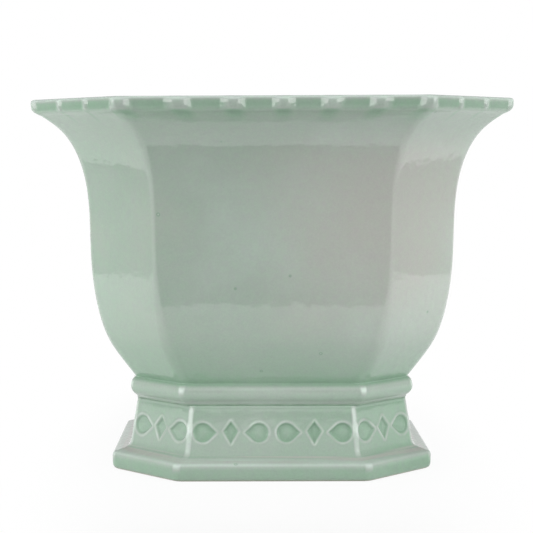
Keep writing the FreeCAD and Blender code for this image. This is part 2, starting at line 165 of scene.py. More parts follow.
class NodeBench:
    """A node tree being built, with short calls for the nodes that come up again and again."""

    MEASURES = ("DISTANCE", "LENGTH")

    def __init__(self, tree: NodeTree) -> None:
        """Start on a tree."""
        self.tree, self.prefix = tree, tree.bl_idname.removesuffix("Tree")

    def node(self, kind: str, *values: Any, **named: Any) -> Node:
        """Add a node.

        Args:
            kind: Type name of the node, where the prefix of the tree's own kind may be left out.
            *values: Wires or values for its first inputs.
            **named: Properties in lower case, and wires or values for other inputs by identifier or
                name, with underscores for spaces.

        Returns:
            The new node.
        """
        node = self.tree.nodes.new(kind if "Node" in kind else self.prefix + kind)
        for name in filter(str.islower, named):
            setattr(node, name, named[name])
        for place, value in enumerate(values):
            self.feed(node.inputs[place], value)
        for key, value in named.items():
            if not key.islower():
                self.feed(self.socket(node, key), value)
        return node

    def feed(self, socket: NodeSocket, value: Any) -> None:
        """Link a socket to a wire, or set its own value.

        Args:
            socket: Input of a node.
            value: A wire or a plain value.
        """
        if isinstance(value, Wire):
            self.tree.links.new(value.socket, socket)
        else:
            socket.default_value = value

    @staticmethod
    def socket(node: Node, key: str) -> NodeSocket:
        """Find an input of a node.

        Args:
            node: The node.
            key: Identifier or name of the input, with underscores for spaces.

        Returns:
            The input.
        """
        names = (key, key.replace("_", " "))
        exact = [socket for socket in node.inputs if socket.identifier in names]
        return (exact or [socket for socket in node.inputs if socket.name in names and socket.enabled])[0]

    def use(self, kind: str, *values: Any, output: str | int = 0, **named: Any) -> Wire:
        """One output of a new node, which is given as for node()."""
        return Wire(self, self.node(kind, *values, **named).outputs[output])

    def math(self, operation: str, *values: Any) -> Wire:
        """Add a math node, or a vector math node where the first value is a vector.

        Args:
            operation: What it works out.
            *values: Wires or values that it works on.

        Returns:
            The result.
        """
        kind = "ShaderNodeVectorMath" if getattr(values[0], "vector", False) else "ShaderNodeMath"
        if operation == "SCALE":
            return self.use(kind, values[0], Scale=values[1], operation=operation)
        output = "Value" if operation in self.MEASURES else 0
        return self.use(kind, *values, output=output, operation=operation)

    def parts(self, count: Wire, size: Any) -> tuple[Wire, Wire]:
        """Number of whole groups before a count, and its place in its own group."""
        group = self.math("FLOOR", (count + 0.5) / size)
        return group, count - group * size

    def combine(self, across: Any, deep: Any, up: Any) -> Wire:
        """Vector from three values."""
        return self.use("ShaderNodeCombineXYZ", across, deep, up)

    def split(self, vector: Wire) -> list[Wire]:
        """The three values of a vector."""
        return [Wire(self, part) for part in self.node("ShaderNodeSeparateXYZ", vector).outputs]

    def spin(self, vector: Wire, angle: Wire) -> Wire:
        """Vector turned about the upright axis."""
        return self.use("ShaderNodeVectorRotate", vector, Angle=angle, rotation_type="Z_AXIS")

    def blend(self, share: Any, first: Any, second: Any, mix: Mix = Mix.VALUE) -> Wire:
        """Mix two values, vectors or colours.

        Args:
            share: Share of the second.
            first, second: What is mixed.
            mix: Which of the three it is, and how.

        Returns:
            The mix.
        """
        suffix, data, output, how = mix.value
        ends = {"Factor_Float": share, f"A_{suffix}": first, f"B_{suffix}": second}
        return self.use("ShaderNodeMix", output=output, data_type=data, blend_type=how, **ends)

    def noise(self, where: Wire, scale: Any, detail: float = 2.0, roughness: float = 0.5) -> Wire:
        """Add noise of about 0 to 1.

        Args:
            where: Place at which it is read.
            scale: Its waves per metre.
            detail: Number of finer layers.
            roughness: Share that each finer layer has.

        Returns:
            The noise.
        """
        return self.use(
            "ShaderNodeTexNoise", Vector=where, Scale=scale, Detail=detail, Roughness=roughness,
            noise_dimensions="3D")

    def attribute(self, mark: Mark) -> Wire:
        """A mark of the geometry at hand."""
        return self.use("InputNamedAttribute", Name=mark.value, data_type="FLOAT")

    def keep(self, geometry: Wire, mark: Mark, value: Wire) -> Wire:
        """Store a mark at each point.

        Args:
            geometry: Geometry that gets it.
            mark: Which mark it is.
            value: Its value.

        Returns:
            The marked geometry.
        """
        return self.use(
            "StoreNamedAttribute", Geometry=geometry, Name=mark.value, Value=value, data_type="FLOAT",
            domain="POINT")


def open_tree(name: str, settings: type) -> tuple[NodeBench, SimpleNamespace]:
    """Start a geometry tree that takes a mesh, the fields of a settings class and a material.

    Args:
        name: Name of the tree.
        settings: Dataclass whose fields become inputs.

    Returns:
        The bench, and the inputs by field name, with mesh and material.
    """
    kinds = {item.name: SOCKETS[item.type] for item in fields(settings)}
    kinds = {"mesh": "Geometry", **kinds, "material": "Material"}
    tree = bpy.data.node_groups.new(name, "GeometryNodeTree")
    for key, kind in kinds.items():
        label = key.replace("_", " ").title()
        tree.interface.new_socket(name=label, in_out="INPUT", socket_type=f"NodeSocket{kind}")
    tree.interface.new_socket(name="Mesh", in_out="OUTPUT", socket_type="NodeSocketGeometry")
    bench = NodeBench(tree)
    outputs = bench.node("NodeGroupInput").outputs
    return bench, SimpleNamespace(**{key: Wire(bench, socket) for key, socket in zip(kinds, outputs)})


def close_tree(bench: NodeBench, geometry: Wire, material: Wire) -> NodeTree:
    """End a geometry tree: realise its instances, set its material and put it out.

    Args:
        bench: Bench of the tree.
        geometry: What the tree has made.
        material: Material that it gets.

    Returns:
        The finished tree.
    """
    real = bench.use("RealizeInstances", Geometry=geometry)
    bench.node("NodeGroupOutput", bench.use("SetMaterial", Geometry=real, Material=material))
    return bench.tree


@dataclass(frozen=True)
class ShellSettings:
    """Inputs of the shell tree, in metres; a piece names those in which it isn't plain."""

    face_spread: float
    face_columns: int
    corner_columns: int
    round_columns: int
    face_scallops: float = 0.0
    corner_scallops: float = 0.0
    scallop_drift: float = 0.0
    scallop_depth: float = 0.0
    ridge_top: float = 0.1
    ridge_foot: float = 0.3
    corner_sharpening: float = 1.0
    corner_thinning: float = 0.0
    corner_depth_share: float = 1.0
    scallop_pool: float = 0.0
    ridge_pool: float = 0.0
    warp: float = 0.0
    unevenness: float = 0.0
    seed: float = 0.0


class OctagonShell:
    """Tree that carries a section round a rounded octagon, with scallops where the section asks."""

    WAVES_PER_METRE = 11.0
    WARP_HEIGHTS = (0.12, 0.24)
    TURN_EDGE = (0.05, 0.45)
    UNDER_RIM, RIM_FADE = (0.0, 0.06), (0.1, 0.6)
    MERGE_DISTANCE = 2e-6

    def __init__(self) -> None:
        """Build the tree."""
        self.bench, self.given = open_tree("octagon_shell", ShellSettings)
        self.tree = self.make()

    def spot(self, half: Any, face: Wire, cut: Wire) -> Wire:
        """Point of an octagon of unit reach with faces of a half width, at shares of its sides passed."""
        passed = (1.0 - half) * cut
        return self.bench.combine(1.0 - passed, (face * 2.0 - 1.0) * half + passed, 0.0)

    def make(self) -> NodeTree:
        """Lay out the whole tree.

        Returns:
            The finished tree.
        """
        bench, given = self.bench, self.given
        wide, narrow, turns = given.face_columns, given.corner_columns, given.round_columns
        rows = bench.use("AttributeDomainSize", Geometry=given.mesh, output="Point Count", component="MESH")
        quarter = wide + narrow + turns * 2.0
        grid = bench.use("MeshGrid", Vertices_X=quarter * 4.0 + 1.0, Vertices_Y=rows)
        column, row = bench.parts(bench.use("InputIndex"), rows)
        side, local = bench.parts(column, quarter)
        cut_start = wide + turns
        cut_end = cut_start + narrow
        steady = local.ramp(0.0, wide)
        turn_in = local.ramp(wide, cut_start)
        cut = local.ramp(cut_start, cut_end)
        turn_out = local.ramp(cut_end, quarter)
        left = 1.0 - steady
        face = steady + steady * left * left * given.scallop_drift

        def sampled(value: Wire, kind: str = "FLOAT") -> Wire:
            """Value at the section's point in this row."""
            return bench.use(
                "SampleIndex", Geometry=given.mesh, Value=value, Index=row, data_type=kind, domain="POINT")

        marks = SimpleNamespace(**{mark.name.lower(): sampled(bench.attribute(mark)) for mark in Mark})
        rim = marks.rim
        reach, _, height = bench.split(sampled(bench.use("InputPosition"), "FLOAT_VECTOR"))

        heading = (turn_in + turn_out) * EIGHTH_TURN
        facing = bench.combine(bench.math("COSINE", heading), bench.math("SINE", heading), 0.0)
        sharp = self.spot(given.face_spread, face, cut)
        rounding = (facing - self.spot(REGULAR_SPREAD, face, cut)) * marks.corner
        ring = bench.math("NORMALIZE", sharp) * reach
        outline = bench.blend(marks.ring, sharp * reach + rounding, ring, Mix.VECTOR)

        on_cut = (cut > 0.0) * (cut < 1.0)
        passed = steady * given.face_scallops + cut * given.corner_scallops
        crest = bench.math("PINGPONG", passed, 0.5) * bench.blend(on_cut, 1.0, given.corner_sharpening)
        hollow = crest.ramp(given.ridge_top * (1.0 - on_cut), given.ridge_foot)
        depth = given.scallop_depth * bench.blend(on_cut, 1.0, given.corner_depth_share)
        outline = outline - facing * (hollow * rim * depth)

        bearing = side * QUARTER_TURN
        turned = bench.spin(outline + bench.combine(0.0, 0.0, height), bearing)
        outward = bench.spin(facing, bearing)
        drift = turned + bench.combine(given.seed, 0.0, 0.0)
        wave = bench.noise(drift, self.WAVES_PER_METRE, 1.0) - 0.5
        lean = bench.split(turned)[0] * given.warp * height.ramp(*self.WARP_HEIGHTS, True)
        placed = turned + outward * (wave * given.unevenness * 2.0) + bench.combine(0.0, 0.0, lean)

        bend = bench.math("PINGPONG", turn_in * 2.0, 1.0) + bench.math("PINGPONG", turn_out * 2.0, 1.0)
        turning = bend.ramp(*self.TURN_EDGE, True) * marks.edge
        ridge = 1.0 - hollow
        flow = (hollow - 0.5) * given.scallop_pool - ridge * on_cut * given.corner_thinning
        fade = rim.ramp(*self.UNDER_RIM) * (1.0 - rim.ramp(*self.RIM_FADE))
        # The glaze is made greener just below each ridge of the rim.
        pool = marks.pool + flow * rim + ridge * fade * given.ridge_pool - turning

        shell = bench.keep(grid, Mark.POOL, pool)
        shell = bench.keep(shell, Mark.CLAY, marks.clay)
        shell = bench.use("SetPosition", Geometry=shell, Position=placed)
        shell = bench.use("MergeByDistance", Geometry=shell, Distance=self.MERGE_DISTANCE)
        return close_tree(bench, shell, given.material)


@dataclass(frozen=True)
class PressSettings:
    """Inputs of the press tree, in metres and radians."""

    drop: Object
    kite: Object
    face_spread: float
    row_reach: float
    row_height: float
    face_tilt: float
    corner_tilt: float
    trio_offset: float = 26.6 * MM
    drop_offset: float = 17.9 * MM
    corner_drop_offset: float = 18.1 * MM
    corner_widening: float = 1.05
    depth: float = 1.3 * MM
    dome: float = 0.6 * MM
    lip: float = 0.22 * MM
    lip_width: float = 1.25 * MM
    lip_thinning: float = 0.32
    shoulder: float = 1.2 * MM
    pool: float = 0.3


class StampPress:
    """Tree that sets dies along the panels of a frieze and presses them softly into its face."""

    DIES, TRIO, PANELS = 36, 3.0, 3.0
    LAST_WIDE_PANEL, SAME_MEMBER = 1.5, 0.1
    INSIDE = 4e-5
    SHOULDER_START, CROWN_START, CROWN_END = -0.2, 1.1, 0.0055
    LIP_PLACE, BRIM, CROWN_DRYNESS = 0.7, 0.35, 0.5
    PATCHES_PER_METRE, PATCH_CONTRAST = 110.0, 2.6
    CORNER_LIP_WIDTH, CORNER_LIP_THINNING, CORNER_WETNESS = 1.35, 1.15, 0.45

    def __init__(self) -> None:
        """Build the tree."""
        self.bench, self.given = open_tree("stamp_press", PressSettings)
        self.tree = self.make()

    def dies(self) -> Wire:
        """Set a die at each place along the panels.

        Returns:
            Realised dies of all panels, each in the plane of its panel.
        """
        bench, given = self.bench, self.given
        trio, member = bench.parts(bench.use("InputIndex"), self.TRIO)
        side, panel = bench.parts(trio, self.PANELS)
        corner = panel > self.LAST_WIDE_PANEL
        heading = side * QUARTER_TURN + corner * EIGHTH_TURN
        corner_share = (given.face_spread + 1.0) * math.sqrt(0.5)
        reach = given.row_reach * bench.blend(corner, 1.0, corner_share)
        tilt = bench.blend(corner, given.face_tilt, given.corner_tilt)
        offset = bench.blend(corner, given.drop_offset, given.corner_drop_offset)
        start = bench.blend(corner, (panel * 2.0 - 1.0) * given.trio_offset, 0.0)
        along = start + (member - 1.0) * offset
        place = bench.spin(bench.combine(reach, along, given.row_height), heading)
        euler = bench.combine(QUARTER_TURN - tilt, 0.0, heading + QUARTER_TURN)
        setting = {
            "Points": bench.use("Points", Count=self.DIES, Position=place),
            "Rotation": bench.use("FunctionNodeEulerToRotation", euler),
            "Scale": bench.combine(bench.blend(corner, 1.0, given.corner_widening), 1.0, 1.0)}
        drop, kite = (
            bench.use("ObjectInfo", Object=die, output="Geometry") for die in (given.drop, given.kite))
        turned = bench.use("Transform", Geometry=drop, Rotation=Euler((0.0, 0.0, math.pi)))
        joined = bench.node("JoinGeometry")
        for number, die in enumerate((drop, kite, turned)):
            chosen = bench.math("COMPARE", member, float(number), self.SAME_MEMBER)
            placed = bench.use("InstanceOnPoints", Selection=chosen, Instance=die, **setting)
            bench.feed(joined.inputs[0], placed)
        return bench.use("RealizeInstances", Geometry=Wire(bench, joined.outputs[0]))

    def make(self) -> NodeTree:
        """Lay out the whole tree.

        Returns:
            The finished tree.
        """
        bench, given = self.bench, self.given
        here = bench.use("InputPosition")
        dies = self.dies()
        outside, edge = (
            bench.use("Proximity", dies, Source_Position=here, output="Distance", target_element=element)
            for element in ("FACES", "EDGES"))
        inward = edge * (outside < self.INSIDE) - outside
        press = inward.ramp(given.shoulder * self.SHOULDER_START, given.shoulder, True)
        crown = inward.ramp(given.shoulder * self.CROWN_START, self.CROWN_END, True)
        across, deep = (abs(part) for part in bench.split(here)[:2])
        lean = bench.math("MINIMUM", across, deep) / bench.math("MAXIMUM", across, deep)

        def by_panel(on_corner: float) -> Wire:
            """Factor that differs from 1 on the cut corners."""
            return bench.blend(lean > given.face_spread, 1.0, on_corner)

        width = given.lip_width * by_panel(self.CORNER_LIP_WIDTH)
        lip = 1.0 - abs(inward + width * self.LIP_PLACE).ramp(0.0, width, True)
        move = press * given.depth * -1.0 + crown * given.dome + lip * given.lip
        brim = given.lip_width * self.BRIM
        wet = inward.ramp(brim * -1.0, brim, True) - crown * self.CROWN_DRYNESS
        patchy = bench.noise(here, self.PATCHES_PER_METRE, 1.0) * self.PATCH_CONTRAST - 0.5
        # The pale broken lip round each stamp is thin glaze and partly a painted highlight.
        bare = lip * patchy * given.lip_thinning * by_panel(self.CORNER_LIP_THINNING)
        pool = bench.attribute(Mark.POOL) + wet * by_panel(self.CORNER_WETNESS) * given.pool - bare
        frieze = bench.keep(given.mesh, Mark.POOL, pool)
        frieze = bench.use("SetPosition", Geometry=frieze, Offset=bench.use("InputNormal") * move)
        return close_tree(bench, frieze, given.material)


@dataclass(frozen=True)
class PadSettings:
    """Inputs of the pad tree, in metres."""

    pad_place: float
    nap_depth: float = 0.25 * MM
    nap_scale: float = 1200.0


class PadSetter:
    """Tree that sets a felt pad under each cut corner and roughens its nap."""

    PADS = 4
    STRAY_TURN = 1.7

    def __init__(self) -> None:
        """Build the tree."""
        bench, given = open_tree("pad_setter", PadSettings)
        turn = (bench.use("InputIndex") + 0.5) * QUARTER_TURN
        reach = given.pad_place * math.sqrt(2.0)
        place = bench.combine(reach * bench.math("COSINE", turn), reach * bench.math("SINE", turn), 0.0)
        euler = bench.combine(0.0, 0.0, turn * self.STRAY_TURN)
        pads = bench.use(
            "InstanceOnPoints", Points=bench.use("Points", Count=self.PADS, Position=place),
            Instance=given.mesh, Rotation=bench.use("FunctionNodeEulerToRotation", euler))
        nap = bench.noise(bench.use("InputPosition"), given.nap_scale) - 0.5
        offset = bench.use("InputNormal") * (1.0, 1.0, 0.0) * (nap * given.nap_depth)
        real = bench.use("RealizeInstances", Geometry=pads)
        soft = bench.use("SetPosition", Geometry=real, Offset=offset)
        self.tree = close_tree(bench, soft, given.material)


@dataclass
class Profile:
    """Upright section of a piece in millimetres, walked up outside and down inside."""

    places: list[Pair] = field(default_factory=list)
    marks: dict[Mark, list[float]] = field(default_factory=lambda: {mark: [] for mark in Mark})

    def run(self, path: Sequence[Pair], steps: int, smooth: bool = False, **marks: Marks) -> None:
        """Add a stretch of the section, without its last point.

        Args:
            path: Reach and height of the points that it passes.
            steps: Number of points to add.
            smooth: Whether it is a natural cubic curve through the points or runs straight.
            **marks: Values along it: corner, radius of the octagon's corners in millimetres; rim, share
                of the scallops' depth; ring, share of a circle; pool, thickness of the glaze, 0 to 1;
                clay, share of bare clay; edge, thinning of the glaze over the octagon's corners.
        """
        self.places += [(reach, height) for reach, height in self.trace(path, steps, smooth)]
        along = np.linspace(0.0, 1.0, steps + 1)[:-1]
        for mark, values in self.marks.items():
            given = marks.get(mark.name.lower(), PLAIN_MARKS.get(mark, 0.0))
            knots = np.atleast_1d(np.asarray(given, float))
            values += np.interp(along, np.linspace(0.0, 1.0, len(knots)), knots).tolist()

    @staticmethod
    def trace(path: Sequence[Pair], steps: int, smooth: bool) -> list[list[float]]:
        """Points spaced along a path, without its last.

        Args:
            path, steps, smooth: As for run().

        Returns:
            Reach and height of each point.
        """
        knots = np.asarray(path, float)
        spans = np.linalg.norm(np.diff(knots, axis=0), axis=1)
        passed = np.concatenate([[0.0], np.cumsum(spans)])
        slopes = np.diff(knots, axis=0) / spans[:, None]
        matrix, pull = np.eye(len(knots)), np.zeros_like(knots)
        for knot in range(1, len(knots) - 1) if smooth else ():
            before, after = spans[knot - 1:knot + 1]
            matrix[knot, knot - 1:knot + 2] = before, 2 * (before + after), after
            pull[knot] = 6 * (slopes[knot] - slopes[knot - 1])
        curl = np.linalg.solve(matrix, pull)
        stops = np.linspace(0.0, passed[-1], steps + 1)[:-1]
        part = np.clip(np.searchsorted(passed, stops, side="right") - 1, 0, len(spans) - 1)
        span = spans[part][:, None]
        left = (passed[part + 1] - stops)[:, None]
        right = (stops - passed[part])[:, None]
        cubic = (curl[part] * left ** 3 + curl[part + 1] * right ** 3) / (6 * span)
        line = (knots[part] / span - curl[part] * span / 6) * left
        line += (knots[part + 1] / span - curl[part + 1] * span / 6) * right
        return (cubic + line).tolist()

    def close(self, last: Pair | None = None) -> None:
        """End the section.

        Args:
            last: Its last point, which otherwise is its first again.
        """
        self.places.append(last or self.places[0])
        for values in self.marks.values():
            values.append(values[0])

    def mesh(self, name: str) -> Mesh:
        """Make a mesh of the section's points, in metres, with their marks.

        Args:
            name: Name of the mesh.

        Returns:
            The mesh.
        """
        mesh = bpy.data.meshes.new(name)
        mesh.from_pydata([(reach * MM, 0.0, height * MM) for reach, height in self.places], [], [])
        for mark, values in self.marks.items():
            factor = MM if mark is Mark.CORNER else 1.0
            layer = mesh.attributes.new(mark.value, "FLOAT", "POINT")
            layer.data.foreach_set("value", [value * factor for value in values])
        return mesh


def arc(centre: Pair, radius: float, start: float, end: float, count: int = 7) -> list[Pair]:
    """Points of an arc in a section, between angles in degrees, 0 outwards and 90 upwards."""
    angles = np.radians(np.linspace(start, end, count))
    return [(centre[0] + radius * math.cos(a), centre[1] + radius * math.sin(a)) for a in angles]


def link_object(name: str, data: ID) -> Object:
    """Put a new object in the scene.

    Args:
        name: Name of the object.
        data: Its mesh, lamp or camera.

    Returns:
        The object.
    """
    made = bpy.data.objects.new(name, data)
    bpy.context.scene.collection.objects.link(made)
    return made


class GrainGroup:
    """Shader group that more than one finish uses: fine grain, broad clouds and sparse specks."""

    INPUTS = ("Cloud Scale", "Grain Scale", "Speck Scale", "Speck Size")
    OUTPUTS = ("Cloud", "Grain", "Speck")
    CLOUD_NOISE, GRAIN_NOISE = (3.0, 0.55), (2.0, 0.6)

    def __init__(self) -> None:
        """Build the group."""
        self.tree = bpy.data.node_groups.new("surface_grain", "ShaderNodeTree")
        for way, names in (("INPUT", self.INPUTS), ("OUTPUT", self.OUTPUTS)):
            for name in names:
                self.tree.interface.new_socket(name=name, in_out=way, socket_type="NodeSocketFloat")
        bench = NodeBench(self.tree)
        entry = bench.node("NodeGroupInput")
        clouds, grains, specks, size = (Wire(bench, entry.outputs[name]) for name in self.INPUTS)
        where = bench.use("TexCoord", output="Object")
        cells = bench.use("TexVoronoi", Vector=where, Scale=specks, output="Distance")
        bench.node(
            "NodeGroupOutput", Cloud=bench.noise(where, clouds, *self.CLOUD_NOISE),
            Grain=bench.noise(where, grains, *self.GRAIN_NOISE), Speck=1.0 - cells.ramp(0.0, size, True))

    def place(self, bench: NodeBench, scales: Sequence[float]) -> SimpleNamespace:
        """Put the group in a material with its inputs in order, and give its outputs."""
        node = bench.node("Group", node_tree=self.tree, **dict(zip(self.INPUTS, scales)))
        return SimpleNamespace(**{name.lower(): Wire(bench, node.outputs[name]) for name in self.OUTPUTS})


class Paint(NodeBench):
    """A material being made, with its shader."""

    def __init__(self, name: str) -> None:
        """Start a material.

        Args:
            name: Name of the material.
        """
        self.material = bpy.data.materials.new(name)
        self.material.use_nodes = True
        super().__init__(self.material.node_tree)
        self.shader = self.tree.nodes["Principled BSDF"]

    def coat(self, colour: Wire, roughness: Wire, height: Wire, relief: Pair) -> Material:
        """Feed the shader what changes over the surface, to finish the material.

        Args:
            colour: Base colour.
            roughness: Roughness.
            height: Height of the relief.
            relief: Strength and distance of the relief.

        Returns:
            The finished material.
        """
        bump = self.use("Bump", Strength=relief[0], Distance=relief[1], Height=height)
        fed = {"Base Color": colour, "Roughness": roughness, "Normal": bump}
        for name, wire in fed.items():
            self.feed(self.shader.inputs[name], wire)
        return self.material


@dataclass(frozen=True)
class GlazeFinish:
    """Pale celadon glaze: light where it thins over edges, green where it pools, bare clay at the foot, with
    painted light: a warm patch on the wall, reflection streaks on the ledge, shade to the sides.
    """

    thin: Colour = tint(196, 210, 201)
    body: Colour = tint(163, 177, 166)
    thick: Colour = tint(142, 170, 149)
    deep: Colour = tint(108, 143, 118)
    # Warm colour of the painted warm light patch and the painted ledge reflections, and of a random warm tone
    # in the clouds.
    blush: Colour = tint(177, 180, 173)
    # Bare clay at the foot, its tone darkened as painted contact shadow along the bottom edge.
    clay: Colour = tint(158, 146, 126)
    to_body: Pair = (0.05, 0.5)
    to_thick: Pair = (0.5, 0.85)
    to_deep: Pair = (0.85, 1.25)
    broad_grain: tuple[float, ...] = (16.0, 260.0, 34.0, 0.055)
    fine_grain: tuple[float, ...] = (55.0, 900.0, 90.0, 0.03)
    broad_flow: float = 0.35
    fine_flow: float = 0.12
    wall_foot: Pair = (0.045, 0.08)
    rim_foot: Pair = (0.205, 0.228)
    # Painted shade: drift turns the wall's glaze greener to the left and paler to the right.
    drift: float = -0.9
    # Painted shade: the pedestal's glaze turns greener towards its sides and its right.
    foot_drift: float = 0.4
    foot_spread: float = 1.5
    # Painted warm light: a pinkish patch round a fixed place on the wall's front, right of centre.
    blush_place: Place = (0.078, -0.118, 0.170)
    blush_reach: Pair = (0.02, 0.12)
    blush_raggedness: float = 0.8
    blush_clouds: Pair = (0.55, 0.8)
    blush_cloud_share: float = 0.3
    blush_pool: Pair = (0.5, 0.62)
    # Heights of the band of painted reflection streaks on the ledge.
    ledge_foot: Pair = (0.0112, 0.0122)
    ledge_top: Pair = (0.0138, 0.0152)
    streak_scale: Place = (14.0, 14.0, 900.0)
    streak_edge: Pair = (0.42, 0.6)
    bubble_ring: float = 0.45
    bubble_heart: Pair = (0.6, 0.95)
    bubble_heart_share: float = 0.5
    pinhole: float = 0.35
    fine_mottling: float = 0.15
    coarse_mottling: float = 0.16
    mottling_warmth: float = -0.18
    gloss: float = 0.04
    gloss_change: float = 0.04
    clay_roughness: float = 0.8
    peel_scale: float = 230.0
    peel: float = 2.5
    grain_height: float = 0.12
    ring_height: float = -0.5
    pinhole_height: float = -0.25
    relief: Pair = (0.5, 0.00012)
    index: float = 1.6

    def make(self, grain: GrainGroup) -> Material:
        """Build the material.

        Args:
            grain: The shared grain group.

        Returns:
            The finished material.
        """
        bench = Paint("celadon_glaze")
        broad, fine = (grain.place(bench, scales) for scales in (self.broad_grain, self.fine_grain))
        pool, clay = (
            bench.use("Attribute", output="Fac", attribute_name=mark.value)
            for mark in (Mark.POOL, Mark.CLAY))
        where = bench.use("TexCoord", output="Object")
        across, _, up = bench.split(where)
        on_wall = up.ramp(*self.wall_foot)
        below_rim = 1.0 - up.ramp(*self.rim_foot)
        # Painted shade: thicker glaze towards the pedestal's sides and right, and towards the wall's left.
        foot = abs(across) * self.foot_spread + across * self.foot_drift
        drift = bench.blend(on_wall, foot, across * below_rim * self.drift)
        clouds, wisps = broad.cloud - 0.5, fine.cloud - 0.5
        flow = pool + drift + clouds * self.broad_flow + wisps * self.fine_flow

        # Painted warm light: a ragged pinkish patch round a fixed place on the wall, plus random warm tone
        # where the clouds are high, faded where the glaze pools.
        near = 1.0 - bench.math("DISTANCE", where, self.blush_place).ramp(*self.blush_reach, True)
        warm_light_patch = (clouds * self.blush_raggedness + near).ramp(0.0, 1.0)
        blush = broad.cloud.ramp(*self.blush_clouds) * self.blush_cloud_share + warm_light_patch
        blush = blush * (1.0 - pool.ramp(*self.blush_pool)) * on_wall * below_rim
        # Painted reflection: pale pinkish streaks along the ledge, in the warm colour.
        ledge = up.ramp(*self.ledge_foot) * (1.0 - up.ramp(*self.ledge_top))
        reflection_streaks = bench.noise(where * self.streak_scale, 1.0, 1.0)
        blush = ledge * reflection_streaks.ramp(*self.streak_edge) + blush

        bubble, pinhole = broad.speck, fine.speck
        ring = bubble * (1.0 - bubble) * 4.0
        heart = bubble.ramp(*self.bubble_heart) * self.bubble_heart_share
        colour: Any = self.thin
        for share, paint in (
            (flow.ramp(*self.to_body), self.body), (flow.ramp(*self.to_thick), self.thick),
            (flow.ramp(*self.to_deep), self.deep), (blush, self.blush),
            (ring * self.bubble_ring, self.deep), (heart, self.thin), (pinhole * self.pinhole, self.deep),
        ):
            colour = bench.blend(share, colour, paint, Mix.COLOUR)
        coarse = broad.grain - 0.5
        mottled = (fine.grain - 0.5) * self.fine_mottling + 1.0 + coarse * self.coarse_mottling
        warm = mottled + coarse * self.mottling_warmth
        colour = bench.blend(1.0, colour, bench.combine(warm, mottled, warm), Mix.FILTER)
        colour = bench.blend(clay, colour, self.clay, Mix.COLOUR)

        sheen = wisps * self.gloss_change + self.gloss
        height = bench.noise(where, self.peel_scale, 0.0) * self.peel + fine.grain * self.grain_height
        height = height + ring * self.ring_height + pinhole * self.pinhole_height
        bench.shader.inputs["IOR"].default_value = self.index
        return bench.coat(colour, bench.blend(clay, sheen, self.clay_roughness), height, self.relief)


@dataclass(frozen=True)
class GrainFinish:
    """Plain finish in two tones, patterned by the shared grain."""

    name: str
    dark: Colour
    light: Colour
    scales: tuple[float, ...]
    tones: Pair
    roughness: Pair
    relief: Pair
    light_share: float = 1.0
    grain_in_tones: float = 0.0
    grain_in_roughness: float = 1.0
    grain_in_relief: float = 1.0

    def make(self, grain: GrainGroup) -> Material:
        """Build the material.

        Args:
            grain: The shared grain group.

        Returns:
            The finished material.
        """
        bench = Paint(self.name)
        noises = grain.place(bench, self.scales)
        tones, rough, height = (
            bench.blend(share, noises.cloud, noises.grain)
            for share in (self.grain_in_tones, self.grain_in_roughness, self.grain_in_relief))
        share = tones.ramp(*self.tones) * self.light_share
        colour = bench.blend(share, self.dark, self.light, Mix.COLOUR)
        return bench.coat(colour, bench.blend(rough, *self.roughness), height, self.relief)


SLIP = GrainFinish(
    "fired_slip", tint(126, 150, 131), tint(152, 172, 155), (90.0, 700.0, 300.0, 0.1), tones=(0.3, 0.7),
    roughness=(0.2, 0.45), relief=(0.5, 0.0003))
RUBBER = GrainFinish(
    "plug_rubber", tint(44, 44, 43), tint(78, 77, 74), (160.0, 1800.0, 500.0, 0.08), tones=(0.4, 0.75),
    roughness=(0.5, 0.75), relief=(0.4, 0.0002), light_share=0.6, grain_in_roughness=0.0)
FELT = GrainFinish(
    "pad_felt", tint(92, 84, 75), tint(146, 138, 126), (900.0, 4200.0, 1500.0, 0.2), tones=(0.35, 0.65),
    roughness=(0.85, 1.0), relief=(0.8, 0.0003), grain_in_tones=0.5, grain_in_relief=0.5)


@dataclass
class Piece:
    """A visible piece: its name, its body, its slot and the nodes that it stands for."""

    name: str
    slot: Slot
    nodes: tuple[str, ...]
    body: Body = Body.PLANTER

    def cast(self, mesh: Mesh, material: Material, *steps: tuple[NodeTree, Any]) -> Object:
        """Run geometry trees on a mesh and keep what comes out as a plain smooth mesh.

        Args:
            mesh: Mesh that the first tree is given.
            material: Material that the trees set.
            *steps: Each tree with its settings.

        Returns:
            The finished object.
        """
        made = link_object(self.name, mesh)
        for tree, settings in steps:
            modifier = made.modifiers.new(tree.name, "NODES")
            modifier.node_group = tree
            values = {**vars(settings), "material": material}
            for item in tree.interface.items_tree:
                key = item.name.replace(" ", "_").lower()
                if item.in_out == "INPUT" and key in values:
                    modifier[item.identifier] = values[key]
        graph = bpy.context.evaluated_depsgraph_get()
        plain = bpy.data.meshes.new_from_object(made.evaluated_get(graph), depsgraph=graph)
        made.modifiers.clear()
        made.data = plain
        plain.name = self.name
        bpy.data.meshes.remove(mesh)
        plain.shade_smooth()
        return made

    def dress(self, made: Object) -> None:
        """Tie the finished object to its body, hide the nodes that it stands for, and report it.

        Args:
            made: The finished object.
        """
        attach(made, self.body.value)
        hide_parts(*self.nodes)
        LOG.info("%s: %d faces, for %s", made.name, len(made.data.polygons), ", ".join(self.nodes))


